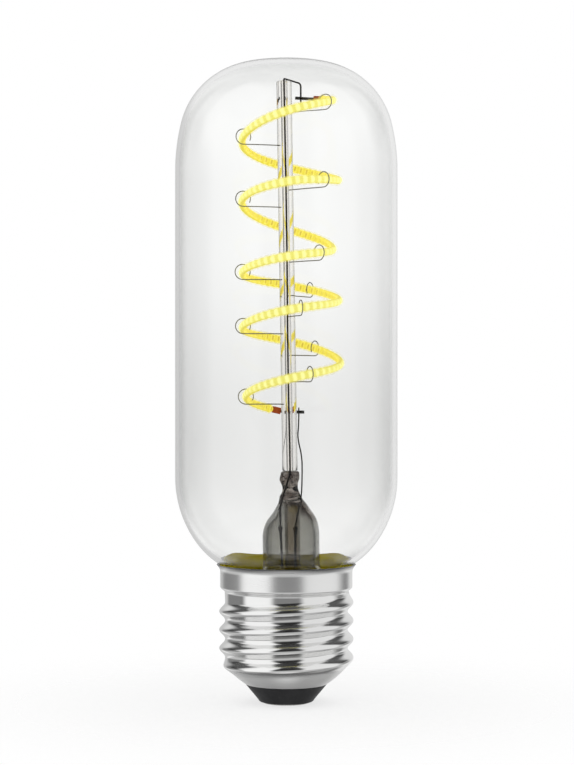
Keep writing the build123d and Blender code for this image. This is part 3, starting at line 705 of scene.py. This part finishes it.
# Strip ends: the bare film tails of the strip and the metal tabs that join them to the leads.
# These stay the solids of the frame and get their own finishes.
tail_finish = grained("tail_film", (0.40, 0.05, 0.001), (0.60, 0.11, 0.003),
                      roughness=(0.4, 0.6), scale=900, stretch=(3, 3, 0.4), specular=0.2)
tab_finish = grained("blackened_tab", (0.02, 0.02, 0.02), (0.05, 0.05, 0.05),
                     roughness=(0.35, 0.55), scale=900, metallic=0.8)
for node, finish in (("top_tail", tail_finish), ("bottom_tail", tail_finish),
                     ("top_terminal", tab_finish), ("bottom_terminal", tab_finish)):
    refinish(node, finish)


# Glass bulb: blown from clear tube, with a domed top, straight sides and a round bottom that narrows
# to a short neck. The neck is cemented into the shell. Arcs are (centre, radius, from, to, points).
bulb_columns, side_rows = 192, 20
bulb_radius, bulb_wall, bulb_ior = 21.85, 0.9, 1.42
neck_radius, neck_heights = 11.6, (20.98, 23.0, 26.0)
bottom_centre, side_top = 44.3, 104.4
bulb_arcs = [((4.328, 41.154), 16.5, -64.0, -36.0, 16), ((0.0, bottom_centre), bulb_radius, -36.0, 0.0, 24),
             ((-18.15, side_top), 40.0, 0.0, 13.7, 10), ((5.4586, 110.1535), 15.7, 13.7, 80.9, 34),
             ((0.0, 76.074), 50.214, 80.9, 90.0, 12)]
# The bulb's edges: greyer at grazing view, partly painted dark reflection.
bulb_edges = [(0.0, 1.0), (0.13, 0.975), (0.34, 0.955), (0.55, 0.98), (0.82, 1.0), (1.0, 0.97)]


def bulb_profile(inset):
    profile = [(neck_radius - inset, height) for height in neck_heights]
    for (centre_radius, centre_height), radius, first, last, count in bulb_arcs:
        for degrees in steps(first, last, count)[1:] + [last]:
            angle = math.radians(degrees)
            place = (centre_radius + (radius - inset) * math.cos(angle),
                     centre_height + (radius - inset) * math.sin(angle))
            if place[0] > neck_radius - inset or place[1] > bottom_centre:
                profile.append(place)
        if last == 0.0:
            side_heights = steps(bottom_centre, side_top, side_rows)[1:]
            profile += [(bulb_radius - inset, height) for height in side_heights]
    profile[-1] = (0.0, profile[-1][1])
    return profile


def painted_bulb_shade(nodes, glass_tint, edge_path_and_reflection):
    """Painted shade greys the lower part of the bulb, clear again at the neck; no grey edge on the dome and
    heel.
    """
    bottom = nodes.over_height(52.0, 92.0, 0.922, 1.0)
    neck = nodes.over_height(27.0, 44.0, 0.06, 0.0)
    dome_unshaded = nodes.over_height(100.0, 114.0)
    heel_unshaded = nodes.over_height(34.0, 52.0, 1.0, 0.0)
    glass_tint = nodes.mix(1.0, glass_tint, nodes.value("ADD", bottom, neck), "MULTIPLY")
    edge_path_and_reflection = nodes.mix(nodes.value("MAXIMUM", dome_unshaded, heel_unshaded), edge_path_and_reflection, (1, 1, 1))
    return glass_tint, edge_path_and_reflection


bulb_rings = turned(bulb_profile(bulb_wall), bulb_columns)[::-1] + turned(bulb_profile(0.0), bulb_columns)
bulb = skin("bulb_glass", bulb_rings, sharp=60)
# The bulb's glass gets painted shade over its lower part.
bulb.data.materials.append(drawn_glass("bulb_glass_clear", (0.975, 0.98, 0.975), (0.995, 0.995, 0.99),
                                       bulb_edges, bulb_ior, scale=40, shade=painted_bulb_shade))
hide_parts("glass_bulb")


# Capping cement: a baked ring of yellowish resin that holds the neck in the collar. It was pressed up along
# the glass as the cap went on, so its top is uneven and stands over the lip in places. Ripples are (waves
# round the ring, phase, rise), and swells are (bearing, spread, rise).
cement_columns = 144
cement_bore, cement_foot, cement_top, cement_gap = 12.68, 23.28, 26.95, -0.05
cement_low_rows = (26.2, 26.7)
cement_ripples = [(5, 0.6, 0.05), (11, 0.0, 0.04)]
cement_swells = [(42, 24, 0.75), (138, 26, 0.75), (-165, 14, 0.3)]
lip_slope = (lip_bend[0] - collar_top[0]) / (lip_bend[1] - collar_top[1])
lip_inside = cement_bore + (lip_height - collar_top[1]) * lip_slope


def glass_side(height):
    (heel_radius, heel_height), reach = bulb_arcs[0][:2]
    return max(neck_radius, heel_radius + math.sqrt(reach ** 2 - (heel_height - height) ** 2)) + cement_gap


def cement_section(angle):
    """The ring's section at one bearing, up along the glass and down along the collar."""
    top = cement_top
    for waves, phase, rise in cement_ripples:
        top += rise * math.sin(waves * angle + phase)
    for bearing, spread, rise in cement_swells:
        aside = (math.degrees(angle) - bearing + 180) % 360 - 180
        top += rise * math.exp(-(aside / spread) ** 2)
    over_lip = max(top - lip_height, 0.0)
    along_glass = [(glass_side(height), height) for height in (*cement_low_rows, top - 0.12)]
    rounded_top = [(glass_side(top) + 0.1, top),
                   (glass_side(top) + 0.16 + 0.2 * over_lip, top - 0.1 - 0.3 * over_lip),
                   (min(glass_side(top) + 0.3, lip_inside), min(top - 0.15, lip_top))]
    return [(neck_radius + cement_gap, cement_foot), *along_glass, *rounded_top,
            (cement_bore, collar_top[1]), (cement_bore, cement_foot)]


cement_sections = [[(radius * math.cos(angle), radius * math.sin(angle), height)
                    for radius, height in cement_section(angle)] for angle in around(cement_columns)]
cement_rings = [list(ring) for ring in zip(*cement_sections)]
cement = skin("cement_ring", cement_rings[::-1], closed=True, sharp=60)
cement.data.materials.append(grained("baked_cement", (0.92, 0.70, 0.004), (0.97, 0.88, 0.007),
                                     roughness=(0.6, 0.85), scale=350, specular=0.1, bump=0.5))
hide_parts("capping_cement")


# Studio: a pale floor that ends softly round the lamp, in a white surround. Shiny metal and glass mirror two
# tall soft panels beside the camera, a pale backdrop behind the lamp and dim greys between them. A panel has
# its bearings round from the camera, its elevations and its soft edge in degrees, and then its level.
floor_reach, floor_full, floor_gone = 3.0, 0.02, 0.09
floor_glow = 0.7
room_level = 0.03
side_panels = [(-86, -26, -38, 70, 7, 1.1), (-102, -86, 14, 70, 7, 0.95), (29, 104, -38, 70, 7, 0.9),
               (104, 116, -14, 12, 7, 0.45)]
backdrop = [(137, 172, -34, 16, 8, 0.8), (-172, -143, -34, 16, 8, 0.6), (172, 200, -34, 16, 8, 0.55),
            (-200, -172, -34, 16, 8, 0.55), (137, 200, 16, 84, 8, 0.8), (-200, -137, 16, 84, 8, 0.8)]
greys_between = [(-26, 29, -14, 4, 9, 0.22), (-143, -90, -14, 14, 8, 0.22), (118, 137, -14, 14, 8, 0.2),
                 (118, 137, 0, 14, 4, 0.3), (-152, -86, -42, -14, 8, 0.58), (-26, 29, -42, -14, 8, 0.55),
                 (104, 142, -42, -14, 8, 0.55), (-137, -102, 24, 70, 8, 0.08), (112, 137, 24, 70, 8, 0.08)]
greys_below = [(-95, 95, -80, -42, 8, 0.55), (95, 158, -62, -42, 8, 0.35), (-158, -95, -62, -42, 8, 0.35),
               (95, 158, -80, -62, 8, 0.13), (-158, -95, -80, -62, 8, 0.13), (158, 200, -80, -42, 8, 0.12),
               (-200, -158, -80, -42, 8, 0.12)]
table_top, ceiling = (-200, 200, -110, -80, 8, 1.3), (-140, 140, 66, 110, 8, 0.06)
studio_panels = [*side_panels, *backdrop, *greys_between, *greys_below, table_top, ceiling]
floor_corners = [(-floor_reach, -floor_reach, 0), (floor_reach, -floor_reach, 0),
                 (floor_reach, floor_reach, 0), (-floor_reach, floor_reach, 0)]
floor_mesh = bpy.data.meshes.new("floor")
floor_mesh.from_pydata(floor_corners, [], [(0, 1, 2, 3)])
floor = bpy.data.objects.new("floor", floor_mesh)
bpy.context.scene.collection.objects.link(floor)


def pale_floor():
    """Pale paint that gives way to the surround further out, and wherever the lamp mirrors it."""
    material, nodes, shader = new_material("pale_floor")
    nodes.feed(shader, {"Base Color": (0.93, 0.93, 0.93), "Roughness": 0.9, "Specular IOR Level": 0.0})
    glow, clear = nodes.add("Emission"), nodes.add("BsdfTransparent")
    lit = nodes.add("MixShader", {"Fac": floor_glow, 1: shader.outputs[0], 2: glow.outputs[0]})
    distance = nodes.add("VectorMath", {0: nodes.place()}, operation="LENGTH").outputs["Value"]
    mirrored = nodes.add("LightPath").outputs["Glossy Depth"]
    hidden = nodes.add("Math", {0: nodes.between(distance, floor_full, floor_gone), 1: mirrored},
                       operation="MAXIMUM", use_clamp=True)
    whole = nodes.add("MixShader", {"Fac": hidden.outputs[0], 1: lit.outputs[0], 2: clear.outputs[0]})
    nodes.feed(material.node_tree.nodes["Material Output"], {"Surface": whole.outputs[0]})
    return material


floor_mesh.materials.append(pale_floor())
world = bpy.data.worlds.new("studio")
bpy.context.scene.world = world
world.use_nodes = True
world.cycles.sampling_method = "NONE"
sky = Nodes(world.node_tree)
direction = sky.add("SeparateXYZ", {0: sky.add("TexCoord").outputs["Generated"]}).outputs
to_camera = sky.value("MULTIPLY", direction["Y"], -1.0)
bearing = sky.value("DEGREES", sky.value("ARCTAN2", direction["X"], to_camera))
elevation = sky.value("DEGREES", sky.value("ARCSINE", direction["Z"]))


def within(source, low, high, soft):
    return sky.value("MULTIPLY", sky.between(source, low - soft, low + soft),
                     sky.between(source, high + soft, high - soft))


glossy_light = room_level
for bearing_low, bearing_high, low, high, soft, level in studio_panels:
    panel = sky.value("MULTIPLY", within(bearing, bearing_low, bearing_high, soft),
                      within(elevation, low, high, soft))
    glossy_light = sky.value("ADD", sky.value("MULTIPLY", panel, level), glossy_light)
ray = sky.add("LightPath").outputs
mirrored = sky.value("MULTIPLY", sky.value("MINIMUM", ray["Glossy Depth"], 1.0),
                     sky.value("SUBTRACT", 1.0, ray["Is Diffuse Ray"]))
strength = sky.value("ADD", sky.value("SUBTRACT", 1.0, mirrored),
                     sky.value("MULTIPLY", mirrored, glossy_light))
sky.feed(world.node_tree.nodes["Background"], {"Strength": strength, "Color": (1, 1, 1)})


# Camera: level, at the height of the lamp's middle, where the picture's own perspective puts it.
# Light may pass through all the walls of glass that stand behind one another.
camera_distance, camera_height = 415.5, 63.4
camera = bpy.data.objects.new("camera", bpy.data.cameras.new("camera"))
bpy.context.scene.collection.objects.link(camera)
camera.location = (0.0, -camera_distance * MM, camera_height * MM)
camera.rotation_euler = (math.radians(90), 0, 0)
camera.data.sensor_fit = "VERTICAL"
camera.data.sensor_height = 24.0
camera.data.lens = 66.23
camera.data.shift_x = 0.0009
camera.data.shift_y = -0.0033
bpy.context.scene.camera = camera
bpy.context.scene.view_settings.view_transform = "Standard"
bpy.context.scene.cycles.max_bounces = 32
bpy.context.scene.cycles.transmission_bounces = 32
bpy.context.scene.cycles.glossy_bounces = 12
bpy.context.scene.cycles.transparent_max_bounces = 32
